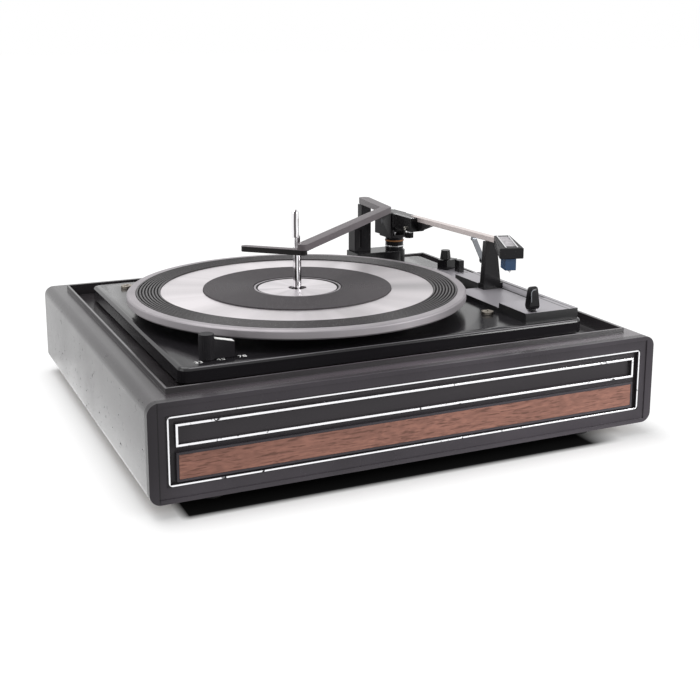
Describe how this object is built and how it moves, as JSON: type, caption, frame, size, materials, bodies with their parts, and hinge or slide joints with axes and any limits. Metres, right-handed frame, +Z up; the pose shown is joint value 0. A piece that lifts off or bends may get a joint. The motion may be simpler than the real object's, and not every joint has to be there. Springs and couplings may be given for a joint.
{
  "type": "record changer",
  "caption": "Record changer on a charcoal plinth with wood-strip fascia, floating deck, ribbed platter, tonearm and bent record steady arm.",
  "frame": {"origin": "on the table, under the middle of the plinth", "axes": "+Z up, +X to the right, front of the plinth towards -Y"},
  "size_m": [0.404, 0.368, 0.1691],
  "materials": {
    "plinth_plastic": "satin charcoal moulding",
    "fascia_plastic": "satin black moulding",
    "bright_trim": "bright line, chipped in places",
    "walnut": "satin veneer",
    "board": "raw fibre board",
    "rubber": "matt",
    "zinc_steel": "plated",
    "deck_paint": "gloss black",
    "nickel": "nickel plate",
    "panel_silver": "silver paint on black moulding",
    "black_plastic": "satin black",
    "platter_alloy": "turned",
    "brushed_ring": "brushed in circles",
    "mat_rubber": "ribbed, dusty grey",
    "spindle_chrome": "polished",
    "copper_coil": "taped winding",
    "gear_plastic": "natural nylon",
    "brass_pulley": "turned",
    "arm_black": "satin",
    "tube_grey": "satin warm grey",
    "weight_metal": "satin black",
    "steady_grey": "satin dark grey",
    "cartridge_blue": "gloss"
  },
  "bodies": {
    "plinth": {"plinth_shell": "plinth_plastic", "fascia": "fascia_plastic", "fascia_trim": "bright_trim", "wood_strip": "walnut", "base_board": "board", "feet": "rubber", "foot_screws": "zinc_steel", "lead_grommet": "rubber"},
    "deck": {"deck_plate": "deck_paint", "suspension_springs": "zinc_steel", "transit_screws": "nickel", "control_panel": "panel_silver", "arm_rest_post": "black_plastic", "bearing_tube": "zinc_steel", "thrust_race": "zinc_steel", "spindle": "spindle_chrome", "motor_stator": "zinc_steel", "motor_coil": "copper_coil", "motor_plates": "zinc_steel", "motor_grommets": "rubber", "idler_bracket": "zinc_steel", "cam_stud": "zinc_steel", "slide_studs": "zinc_steel", "power_switch": "black_plastic", "arm_base": "black_plastic", "arm_pillar": "arm_black", "overarm_column": "arm_black", "cue_box": "black_plastic"},
    "turntable": {"platter": "platter_alloy", "platter_ring": "brushed_ring", "outer_mat": "mat_rubber", "inner_mat": "mat_rubber", "centre_disc": "brushed_ring"},
    "pusher": {"spindle_pusher": "spindle_chrome"},
    "rotor": {"motor_rotor": "zinc_steel", "motor_pulley": "brass_pulley"},
    "idler": {"idler_wheel": "rubber"},
    "change_gear": {"cam_gear": "gear_plastic"},
    "slide": {"main_slide": "zinc_steel"},
    "yoke": {"arm_yoke": "arm_black", "pivot_screws": "nickel"},
    "tonearm": {"arm_housing": "arm_black", "arm_tube": "tube_grey", "counterweight": "weight_metal", "headshell": "arm_black", "headshell_trim": "bright_trim", "cartridge": "cartridge_blue", "stylus": "zinc_steel"},
    "lift": {"lift_rod": "zinc_steel"},
    "steady_shaft": {"overarm_shaft": "zinc_steel"},
    "steady_arm": {"overarm": "steady_grey"},
    "function_control": {"function_lever": "black_plastic"},
    "cue_control": {"cue_knob": "black_plastic"},
    "speed_control": {"speed_selector": "black_plastic"},
    "clip": {"rest_clip": "black_plastic"}
  },
  "joints": [
    {"name": "deck_float", "type": "slide", "parent": "plinth", "child": "deck", "axis": [0, 0, 1], "range_m": [-0.002, 0.002], "stiffness_N_per_m": 20000, "springref_m": 0.0012, "deforming": ["suspension_springs"]},
    {"name": "platter_spin", "type": "hinge", "parent": "deck", "child": "turntable", "pos_m": [-0.0271, -0.0086, 0.09], "axis": [0, 0, 1], "continuous": true},
    {"name": "cam_spin", "type": "hinge", "parent": "deck", "child": "change_gear", "pos_m": [0.02748, 0.0372, 0.09], "axis": [0, 0, 1], "continuous": true},
    {"name": "idler_spin", "type": "hinge", "parent": "deck", "child": "idler", "pos_m": [-0.12063, 0.0454, 0.093], "axis": [0, 0, 1], "continuous": true},
    {"name": "motor_spin", "type": "hinge", "parent": "deck", "child": "rotor", "pos_m": [-0.0919, 0.0588, 0.08], "axis": [0, 0, 1], "continuous": true},
    {"name": "pusher_slide", "type": "slide", "parent": "deck", "child": "pusher", "axis": [1, 0, 0], "range_m": [0, 0.0012]},
    {"name": "main_slide_travel", "type": "slide", "parent": "deck", "child": "slide", "axis": [0, 1, 0], "range_m": [-0.0014, 0.0014]},
    {"name": "function_lever_tilt", "type": "hinge", "parent": "deck", "child": "function_control", "pos_m": [0.1245, -0.1295, 0.0902], "axis": [1, 0, 0], "range_deg": [-12, 12]},
    {"name": "cue_lever_tilt", "type": "hinge", "parent": "deck", "child": "cue_control", "pos_m": [0.15027, 0.05607, 0.0935], "axis": [0.9063, 0.4226, 0], "range_deg": [0, 8]},
    {"name": "lift_rod_rise", "type": "slide", "parent": "deck", "child": "lift", "axis": [0, 0, 1], "range_m": [0, 0.003]},
    {"name": "speed_select", "type": "hinge", "parent": "deck", "child": "speed_control", "pos_m": [-0.143, -0.125, 0.09], "axis": [0, 0, 1], "range_deg": [-22, 15]},
    {"name": "tonearm_swing", "type": "hinge", "parent": "deck", "child": "yoke", "pos_m": [0.1302, 0.124, 0.1125], "axis": [0, 0, 1], "range_deg": [-40, 0]},
    {"name": "tonearm_lift", "type": "hinge", "parent": "yoke", "child": "tonearm", "pos_m": [0.12952, 0.13197, 0.1272], "axis": [-0.9963, -0.0854, 0], "range_deg": [0, 8]},
    {"name": "overarm_lift", "type": "slide", "parent": "deck", "child": "steady_shaft", "axis": [0, 0, 1], "range_m": [0, 0.035]},
    {"name": "overarm_swing", "type": "hinge", "parent": "steady_shaft", "child": "steady_arm", "pos_m": [0.0997, 0.12925, 0.1467], "axis": [0, 0, 1], "range_deg": [0, 42]},
    {"name": "rest_clip_fold", "type": "hinge", "parent": "deck", "child": "clip", "pos_m": [0.14487, -0.01991, 0.114], "axis": [1, 0, 0], "range_deg": [-46, 0]}
  ],
  "couplings": [
    {"joint": "cam_spin", "follows": "platter_spin", "ratio": -0.1875},
    {"joint": "main_slide_travel", "follows": "function_lever_tilt", "m_per_rad": 0.0066},
    {"joint": "lift_rod_rise", "follows": "cue_lever_tilt", "m_per_rad": 0.0214}
  ]
}
